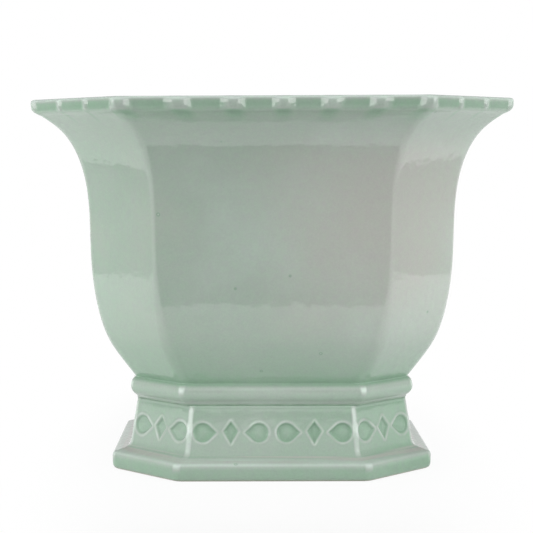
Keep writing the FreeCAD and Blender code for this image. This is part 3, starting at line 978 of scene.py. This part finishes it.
@dataclass
class Bowl(Piece):
    """Flared octagonal bowl: bead, belly, throat, flare, scalloped rim, inside, floor and drain hole."""

    name: str = "bowl_glazed"
    slot: Slot = Slot.GLAZE
    nodes: tuple[str, ...] = ("bowl",)
    shell: ShellSettings = ShellSettings(
        spread(32.2), 144, 60, 8, face_scallops=6.0, corner_scallops=3.0, scallop_drift=0.25,
        scallop_depth=2.4 * MM, ridge_top=1 / 12, ridge_foot=0.25, corner_sharpening=2.3,
        corner_thinning=0.2, corner_depth_share=0.6, scallop_pool=0.36, ridge_pool=0.3, warp=0.005,
        unevenness=0.25 * MM)
    bead_path: tuple[Pair, ...] = (
        (88.7, 46.8), (88.9, 47.7), (90.0, 48.7), (91.4, 50.2), (92.4, 52.2), (92.75, 54.6), (92.4, 56.9),
        (91.4, 58.7), (90.3, 59.6))
    crease: Pair = (89.9, 60.1)
    wall_path: tuple[Pair, ...] = (
        (90.3, 60.8), (98.7, 72.8), (105.6, 84.0), (112.7, 105.0), (117.1, 141.75), (118.6, 178.5),
        (124.6, 205.0), (134.9, 222.0), (146.2, 230.9))
    rim_path: tuple[Pair, ...] = (
        (146.2, 230.9), (149.0, 232.2), (150.7, 233.4), (151.6, 234.7), (151.93, 236.1), (152.05, 237.8),
        (151.98, 239.4), (151.35, 240.45), (150.1, 240.93), (148.4, 240.95), (146.4, 240.3))
    inside_path: tuple[Pair, ...] = (
        (146.4, 240.3), (139.4, 234.6), (129.7, 226.7), (118.0, 207.5), (111.6, 179.3), (110.1, 142.3),
        (105.8, 106.4), (99.2, 86.8), (93.0, 76.6), (85.2, 64.9), (80.0, 58.0), (73.0, 55.8))
    bed: float = 76.5
    foot: float = 46.8
    floor: float = 55.8
    drain: float = 11.0
    drain_round: float = 0.8

    def profile(self) -> Profile:
        """Walk the bowl's section, from the drain's lower edge and round again.

        Returns:
            The closed section.
        """
        section = Profile()
        low, floor, drain, curve = self.foot, self.floor, self.drain, self.drain_round
        edge, bed = drain + curve, (self.bed, low)
        section.run([(edge, low), bed], 4, ring=(1.0, 0.3, 0.0, 0.0), clay=1.0)
        section.run([bed, self.bead_path[0]], 2, clay=(1.0, 0.0), pool=0.9)
        section.run(
            self.bead_path, 14, True, corner=(5.0, 6.0, 8.0),
            pool=(0.36, 0.36, 0.42, 0.54, 0.58, 0.56, 0.5, 0.42, 0.42, 0.6, 0.75),
            edge=(0.0, 0.0, 0.0, 0.0, 0.05, 0.25, 0.45, 0.45, 0.15, 0.0))
        section.run(
            [self.bead_path[-1], self.crease, self.wall_path[0]], 4, True, corner=(8.0, 13.0),
            pool=(0.8, 0.85, 0.7))
        section.run(
            self.wall_path, 38, True, corner=(13.0, 13.0, 11.0, 8.0, 5.0, 4.5, 5.0, 7.0, 9.0, 8.0),
            pool=(0.84, 0.66, 0.54, 0.5, 0.48, 0.46, 0.46, 0.46, 0.48, 0.52, 0.6),
            edge=(0.0, 0.02, 0.06, 0.06, 0.06, 0.06, 0.04, 0.02), rim=(0.0,) * 36 + (0.03, 0.06))
        section.run(
            # The pale glaze along the rim's top is thin glaze over the lip and partly a painted highlight.
            self.rim_path, 19, True, corner=(8.0, 4.0, 4.0),
            rim=(0.06, 0.08, 0.14, 0.55, 1.0, 1.0, 1.0, 0.8, 0.4, 0.15, 0.05),
            pool=(0.62, 0.62, 0.6, 0.58, 0.56, 0.6, 0.6, 0.5, 0.1, -0.3, -0.5, -0.4, 0.0), edge=0.12)
        section.run(
            self.inside_path, 18, True, corner=(3.0, 6.0, 6.0), rim=(0.05,) + (0.0,) * 16,
            pool=(0.1, 0.45, 0.5, 0.5, 0.5, 0.55, 0.9))
        section.run(
            [self.inside_path[-1], (edge, floor)], 5, corner=6.0, ring=(0.0, 0.0, 0.4, 1.0),
            pool=(0.9, 0.65, 0.7, 0.9))
        turned = partial(section.run, ring=1.0)
        turned(arc((edge, floor - curve), curve, 90, 180), 2, True, pool=(0.5, 0.3))
        turned([(drain, floor - curve), (drain, low + curve)], 2, clay=(0.0, 1.0))
        turned(arc((edge, low + curve), curve, 180, 270), 2, True, clay=1.0)
        section.close()
        return section

    def build(self, shell: OctagonShell, glaze: Material) -> Object:
        """Make the bowl in its glaze by carrying its section round."""
        return self.cast(self.profile().mesh("bowl_section"), glaze, (shell.tree, self.shell))


@dataclass
class Pedestal(Piece):
    """Octagonal pedestal: hollow, rounded plinth, sloping ledge and a frieze of pressed stamps."""

    name: str = "pedestal_glazed"
    slot: Slot = Slot.GLAZE
    nodes: tuple[str, ...] = ("pedestal",)
    shell: ShellSettings = ShellSettings(spread(30.3), 200, 100, 6)
    hollow_top: float = 77.0
    top: float = 46.0
    shoulder: float = 88.2
    frieze_top: Pair = (88.6, 46.0)
    frieze_lip: Pair = (88.6, 45.85)
    frieze_foot: Pair = (93.3, 14.5)
    stamped: Pair = (19.4, 38.6)
    plain: Pair = (42.6, 45.2)
    base_path: tuple[Pair, ...] = ((88.4, 1.4), (89.1, 0.6), (99.6, 0.6))
    plinth_path: tuple[Pair, ...] = (
        (101.8, 0.1), (103.3, 0.45), (104.3, 1.7), (104.7, 4.2), (104.75, 7.2), (104.6, 9.7),
        (103.9, 10.95), (102.4, 11.5))
    ledge_path: tuple[Pair, ...] = ((98.6, 12.6), (95.8, 13.5), (94.0, 14.6), (93.2, 16.2))
    row_lift: float = 14.5
    drop_radius: float = 6.0
    drop_point: float = 8.8
    drop_points: int = 40
    kite_half: float = 4.5
    kite_top: float = 6.1
    kite_foot: float = 7.8

    @property
    def splay(self) -> float:
        """Lean of the frieze, as reach lost per height."""
        (top_reach, top), (foot_reach, foot) = self.frieze_top, self.frieze_foot
        return (foot_reach - top_reach) / (top - foot)

    def on_frieze(self, height: float) -> Pair:
        """Point of the frieze's face at a height."""
        foot_reach, foot = self.frieze_foot
        return (foot_reach - self.splay * (height - foot), height)

    def profile(self) -> Profile:
        """Walk the pedestal's section, from the hollow's top and round again.

        Returns:
            The closed section.
        """
        section = Profile()
        hollow, shoulder = (self.hollow_top, self.top), (self.shoulder, self.top)
        low, high, brow, chamfer = (self.on_frieze(height) for height in self.stamped + self.plain)
        section.run([hollow, self.base_path[0]], 4, corner=3.0, clay=1.0)
        section.run([*self.base_path, self.plinth_path[0]], 6, corner=(3.0, 5.0), clay=1.0)
        section.run(
            self.plinth_path, 13, True, corner=(9.0, 8.5, 8.0), clay=(1.0, 0.9, 0.35) + (0.0,) * 11,
            edge=(0.0, 0.0, 0.0, 0.0, 0.05, 0.3, 0.42, 0.2, 0.0),
            pool=(0.62, 0.68, 0.74, 0.78, 0.76, 0.72, 0.56, 0.1, 0.15))
        section.run(
            [self.plinth_path[-1], *self.ledge_path, low], 9, True, corner=(8.0, 6.5, 6.0),
            pool=(0.15, 0.26, 0.28, 0.34, 0.64, 0.62, 0.6, 0.58),
            edge=(0.0, 0.0, 0.0, 0.1, 0.3, 0.36, 0.38))
        section.run([low, high], 38, corner=6.0, pool=0.58, edge=0.38)
        section.run([high, brow], 2, corner=6.0, pool=0.6, edge=0.38)
        section.run(
            [brow, chamfer, self.frieze_lip, shoulder], 5, True, corner=6.0, pool=0.6,
            edge=(0.38, 0.2, 0.0))
        section.run([shoulder, hollow], 2, corner=(4.0, 3.0), pool=1.0, clay=(0.0, 1.0))
        section.close()
        return section

    def dies(self) -> dict[str, Object]:
        """Cut flat dies: a drop that points along X, and a kite with its widest place above its middle.

        Returns:
            The drop and the kite by name.
        """
        opening = math.degrees(math.acos(self.drop_radius / self.drop_point))
        drop = arc((0.0, 0.0), self.drop_radius, opening, 360 - opening, self.drop_points)
        lift = (self.kite_foot - self.kite_top) / 2
        kite = [
            (0.0, lift + self.kite_top), (-self.kite_half, lift), (0.0, lift - self.kite_foot),
            (self.kite_half, lift)]
        made = {}
        for key, outline in (("drop", drop + [(self.drop_point, 0.0)]), ("kite", kite)):
            mesh = bpy.data.meshes.new(f"{key}_die")
            mesh.from_pydata([(x * MM, y * MM, 0.0) for x, y in outline], [], [range(len(outline))])
            made[key] = link_object(f"{key}_die", mesh)
        return made

    def build(self, shell: OctagonShell, press: StampPress, glaze: Material) -> Object:
        """Make the pedestal.

        Args:
            shell: Tree that carries the section round.
            press: Tree that presses the stamps.
            glaze: Glaze material.

        Returns:
            The finished object.
        """
        dies, half = self.dies(), self.shell.face_spread
        reach, height = self.on_frieze(self.frieze_foot[1] + self.row_lift)
        stamps = PressSettings(
            **dies, face_spread=half, row_reach=reach * MM, row_height=height * MM,
            face_tilt=math.atan(self.splay),
            corner_tilt=math.atan(self.splay * ((1 + half) * math.sqrt(0.5))))
        section = self.profile().mesh("pedestal_section")
        made = self.cast(section, glaze, (shell.tree, self.shell), (press.tree, stamps))
        for die in dies.values():
            mesh = die.data
            bpy.data.objects.remove(die)
            bpy.data.meshes.remove(mesh)
        return made


@dataclass
class LutingSeam(Piece):
    """Ring of fired slip in the crease between the two castings."""

    name: str = "luting_slip"
    slot: Slot = Slot.SLIP
    nodes: tuple[str, ...] = ("luting_seam",)
    shell: ShellSettings = ShellSettings(spread(31.7), 60, 30, 5, unevenness=0.1 * MM, seed=3.0)
    inner: float = 77.0
    outer: float = 88.4
    low: float = 46.0
    high: float = 46.8
    outer_bulge: float = 0.22
    outer_lip: float = 0.15
    inner_bulge: float = 0.3

    def build(self, shell: OctagonShell, slip: Material) -> Object:
        """Make the seam.

        Args:
            shell: Tree that carries the section round.
            slip: Slip material.

        Returns:
            The finished object.
        """
        section = Profile()
        inner, outer, low, high = self.inner, self.outer, self.low, self.high
        middle, lip = (low + high) / 2, (outer + self.outer_lip, high)
        section.run([(inner, low), (outer, low)], 4)
        section.run([(outer, low), (outer + self.outer_bulge, middle), lip], 6, True)
        section.run([lip, (inner, high)], 4)
        section.run([(inner, high), (inner - self.inner_bulge, middle), (inner, low)], 4, True)
        section.close()
        return self.cast(section.mesh("seam_section"), slip, (shell.tree, self.shell))


@dataclass
class DrainPlug(Piece):
    """Turned rubber stopper with a ringed flange and a fluted knob."""

    name: str = "drain_stopper"
    slot: Slot = Slot.RUBBER
    nodes: tuple[str, ...] = ("drain_plug",)
    body: Body = Body.PLUG
    shell: ShellSettings = ShellSettings(
        REGULAR_SPREAD, 16, 16, 1, face_scallops=3.0, corner_scallops=3.0, scallop_depth=0.45 * MM,
        ridge_top=0.15, ridge_foot=0.45)
    tail: float = 43.8
    seat: float = 55.8
    shank_foot: float = 9.8
    shank_top: float = 10.7
    flange: float = 16.0
    flange_top: float = 58.8
    flange_round: float = 1.2
    seat_gap: float = 0.02
    stem: float = 3.5
    knob: float = 6.0
    knob_foot: float = 62.8
    knob_top: float = 66.8

    def build(self, shell: OctagonShell, rubber: Material) -> Object:
        """Make the plug.

        Args:
            shell: Tree that carries the section round.
            rubber: Rubber material.

        Returns:
            The finished object.
        """
        section = Profile()
        turned = partial(section.run, ring=1.0)
        tail, seat, top, stem, knob = self.tail, self.seat, self.flange_top, self.stem, self.knob
        heel, neck, cap, crown = tail + 1.0, self.shank_top - 0.25, self.knob_foot, self.knob_top
        face, curve = seat + self.seat_gap, self.flange_round
        rim = self.flange - curve
        turned([(0.0, heel), (4.0, heel)], 2)
        turned([(4.0, heel), (5.0, tail + 0.3), (8.8, tail), (self.shank_foot, heel)], 7, True)
        turned([(self.shank_foot, heel), (neck, seat - 3.0)], 4)
        turned([(neck, seat - 3.0), (self.shank_top, seat - 2.0), (neck, seat - 1.0), (neck, face)], 7, True)
        turned([(neck, face), (self.flange - 0.9, face)], 3)
        turned(arc((rim, face + curve), curve, -90, 0) + arc((rim, top - curve), curve, 0, 90), 10, True)
        turned([
            (rim, top), (12.6, top), (12.1, top - 0.5), (11.2, top - 0.5), (10.7, top), (stem + 2.0, top)], 9)
        turned([
            (stem + 2.0, top), (stem + 0.5, top + 0.5), (stem, top + 1.6), (stem, cap - 0.9),
            (stem + 0.7, cap)], 9, True)
        turned([
            (stem + 0.7, cap), (knob - 0.6, cap + 0.2), (knob, cap + 1.2), (knob, crown - 1.5),
            (knob - 0.7, crown - 0.4), (knob - 2.2, crown)], 14, True, rim=(0.0, 0.6, 1.0, 1.0, 0.5, 0.0))
        turned([(knob - 2.2, crown), (2.0, crown - 0.35), (0.0, crown - 0.4)], 4)
        section.close((0.0, crown - 0.4))
        return self.cast(section.mesh("plug_section"), rubber, (shell.tree, self.shell))


@dataclass
class FootPads(Piece):
    """Four felt pads under the cut corners."""

    name: str = "felt_pads"
    slot: Slot = Slot.FELT
    nodes: tuple[str, ...] = ("foot_pad_1", "foot_pad_2", "foot_pad_3", "foot_pad_4")
    settings: PadSettings = PadSettings(75.296 * MM)
    radius: float = 4.9
    thickness: float = 0.6
    soft_edge: float = 0.15
    rings: Pair = (1.6, 3.2)
    columns: int = 48

    def pad_mesh(self) -> Mesh:
        """Shape one pad.

        Returns:
            Soft-edged disc about the origin.
        """
        around, high = self.columns, self.thickness
        below = [*self.rings, self.radius - self.soft_edge]
        section = [(reach, 0.0) for reach in below]
        section += [(self.radius, high * 0.25), (self.radius, high * 0.75)]
        section += [(reach, high) for reach in reversed(below)]
        turns = [2 * math.pi * step / around for step in range(around)]
        vertices = [(0.0, 0.0, 0.0)]
        for reach, height in section:
            vertices += [(reach * math.cos(t) * MM, reach * math.sin(t) * MM, height * MM) for t in turns]
        vertices.append((0.0, 0.0, high * MM))
        starts = [1 + ring * around for ring in range(len(section))]
        faces: list[tuple[int, ...]] = []
        for step in range(around):
            after = (step + 1) % around
            faces.append((0, 1 + after, 1 + step))
            faces += [
                (low + step, low + after, next_up + after, next_up + step)
                for low, next_up in zip(starts, starts[1:])]
            faces.append((starts[-1] + step, starts[-1] + after, len(vertices) - 1))
        mesh = bpy.data.meshes.new("pad_disc")
        mesh.from_pydata(vertices, [], faces)
        return mesh

    def build(self, setter: PadSetter, felt: Material) -> Object:
        """Make the pads in their felt by setting one disc four times."""
        return self.cast(self.pad_mesh(), felt, (setter.tree, self.settings))


@dataclass(frozen=True)
class Lamp:
    """Soft rectangular lamp of the right side, which has its mirror image on the left."""

    name: str
    place: Place
    size: Pair
    power: float
    aim: Place = (0.0, -0.05, 0.12)
    lean: float = 0.0
    mirrored: bool = True

    def hang(self, side: int) -> None:
        """Hang the lamp on one side.

        Args:
            side: 1 for the right, or -1 for its mirror image on the left.
        """
        data = bpy.data.lights.new(f"{self.name}_{side}", "AREA")
        data.shape = "RECTANGLE"
        data.size, data.size_y = self.size
        data.energy = self.power * (1 - side * self.lean)
        lamp = link_object(data.name, data)
        place, aim = (Vector((side * x, y, z)) for x, y, z in (self.place, self.aim))
        lamp.location = place
        lamp.rotation_euler = (aim - place).to_track_quat("-Z", "Y").to_euler()
        lamp.visible_camera = False
        lamp.visible_glossy = self.mirrored


def ray_masks(bench: NodeBench) -> tuple[Wire, Wire]:
    """Tell rays apart by where they come from.

    Args:
        bench: Bench of the shader that they meet.

    Returns:
        Masks of rays from the camera, straight or through glass, and of glossy rays.
    """
    path = bench.node("LightPath").outputs
    camera, through, glossy = (
        Wire(bench, path[f"Is {kind} Ray"]) for kind in ("Camera", "Transmission", "Glossy"))
    return bench.math("MAXIMUM", camera, through), glossy


@dataclass
class Studio:
    """Pale table with curled margins, soft light from above and both sides, and the camera in front."""

    distance: float = 1.0596
    height: float = 0.2036
    yaw: float = 0.741
    pitch: float = 2.059
    pan: float = 0.16
    focal_pixels: float = 1530.2
    shift: float = -0.10
    table_back: float = 0.9
    front_curl: tuple[Pair, Pair] = ((0.262, 0.0), (0.2415, 0.053))
    side_curl: tuple[Pair, Pair] = ((0.400, 0.0), (0.362, 0.075))
    paper_tones: tuple[Colour, Colour] = ((0.88, 0.88, 0.88, 1.0), (0.92, 0.92, 0.92, 1.0))
    fibre_scale: float = 220.0
    shadow_stretch: Place = (1.0, 0.3, 0.0)
    shadow_edge: Pair = (0.08, 0.17)
    shadow_white: float = 0.92
    top_front: float = 1.03
    top_back: float = 0.3
    panel: float = 0.57
    back_low: float = 0.8
    opening: float = 0.05
    opening_edge: Pair = (0.94, 0.97)
    panel_top: Pair = (0.19, 0.23)
    back_edge: Pair = (-0.15, 0.15)
    lamps: tuple[Lamp, ...] = (
        Lamp("box_lamp", (0.85, -0.79, 0.26), (0.85, 0.34), 2.8),
        Lamp("flank_lamp", (1.0, -0.10, 0.80), (1.4, 1.2), 1.0),
        Lamp("side_lamp", (0.42, -0.14, 0.10), (0.16, 0.08), 0.49, (0.10, -0.10, 0.18), 0.1, False))

    def camera(self) -> None:
        """Set the camera at the photograph's place."""
        data = bpy.data.cameras.new("camera")
        data.sensor_width = SENSOR_WIDTH
        data.lens = self.focal_pixels * SENSOR_WIDTH / PHOTO_SIDE
        data.shift_y = self.shift
        eye = link_object("camera", data)
        turn = math.radians(self.yaw)
        eye.location = (-self.distance * math.sin(turn), -self.distance * math.cos(turn), self.height)
        eye.rotation_euler = (math.radians(90 - self.pitch), 0.0, math.radians(self.pan - self.yaw))
        bpy.context.scene.camera = eye

    def paper(self) -> Material:
        """Make white paper that shows as plain white to the camera away from the planter.

        Returns:
            The finished material.
        """
        bench = Paint("table_paper")
        bench.tree.nodes.remove(bench.shader)
        where = bench.use("TexCoord", output="Object")
        colour = bench.blend(bench.noise(where, self.fibre_scale), *self.paper_tones, Mix.COLOUR)
        matt = bench.use("BsdfDiffuse", Color=colour)
        white = bench.use("Emission", Color=WHITE, Strength=1.0)
        seen, glossy = ray_masks(bench)
        span = bench.math("LENGTH", where * self.shadow_stretch)
        share = bench.blend(span.ramp(*self.shadow_edge, True), self.shadow_white, 1.0)
        share = bench.math("MAXIMUM", seen * share, glossy)
        shown = bench.use("MixShader", share, matt, white)
        bench.feed(bench.tree.nodes["Material Output"].inputs["Surface"], shown)
        return bench.material

    def table(self) -> None:
        """Set the pale table, with its front and side margins curled up out of the picture."""
        paper = self.paper()
        (front, _), (front_in, front_up) = self.front_curl
        (side, _), (side_in, side_up) = self.side_curl
        back = self.table_back
        flat = [(-side, -front, 0.0), (side, -front, 0.0), (side, back, 0.0), (-side, back, 0.0)]
        curls = [*flat[:2], (side, -front_in, front_up), (-side, -front_in, front_up)]
        for way in (-1, 1):
            curls += [
                (way * side, -front, 0.0), (way * side, back, 0.0), (way * side_in, back, side_up),
                (way * side_in, -front, side_up)]
        for name, points in (("table", flat), ("table_margin", curls)):
            mesh = bpy.data.meshes.new(name)
            mesh.from_pydata(points, [], [range(start, start + 4) for start in range(0, len(points), 4)])
            mesh.materials.append(paper)
            sheet = link_object(name, mesh)
            sheet.visible_camera = name == "table"

    def world(self) -> None:
        """White surround with dark openings in front and at the sides, plain white to the camera."""
        world = bpy.data.worlds.new("surround")
        bpy.context.scene.world = world
        world.use_nodes = True
        bench = NodeBench(world.node_tree)
        across, deep, up = bench.split(bench.use("TexCoord", output="Generated"))
        level = bench.math("SQRT", 1.0 - up * up)
        ahead, aside = ((way / level).ramp(*self.opening_edge, True) for way in (deep * -1.0, abs(across)))
        low = 1.0 - up.ramp(*self.panel_top, True)
        behind = deep.ramp(*self.back_edge, True)
        wall = bench.blend(behind, self.panel, self.back_low)
        wall = bench.blend(bench.math("MAXIMUM", ahead, aside), wall, self.opening)
        strength = bench.blend(low, bench.blend(behind, self.top_front, self.top_back), wall)
        seen, _ = ray_masks(bench)
        background = world.node_tree.nodes["Background"]
        background.inputs["Color"].default_value = WHITE
        bench.feed(background.inputs["Strength"], bench.blend(seen, strength, 1.0))

    def build(self) -> None:
        """Set up the whole studio."""
        self.camera()
        self.table()
        self.world()
        for side in (-1, 1):
            for lamp in self.lamps:
                lamp.hang(side)
        bpy.context.scene.view_settings.view_transform = "Standard"


def main() -> None:
    """Build the planter piece by piece, then the studio, and report each piece."""
    logging.basicConfig(level=logging.INFO, format="%(name)s: %(message)s")
    shell, press, setter, grain = OctagonShell(), StampPress(), PadSetter(), GrainGroup()
    glaze = GlazeFinish().make(grain)

    bowl = Bowl()
    bowl.dress(bowl.build(shell, glaze))
    pedestal = Pedestal()
    pedestal.dress(pedestal.build(shell, press, glaze))
    seam = LutingSeam()
    seam.dress(seam.build(shell, SLIP.make(grain)))
    plug = DrainPlug()
    plug.dress(plug.build(shell, RUBBER.make(grain)))
    pads = FootPads()
    pads.dress(pads.build(setter, FELT.make(grain)))
    Studio().build()


if __name__ == "__main__":
    main()
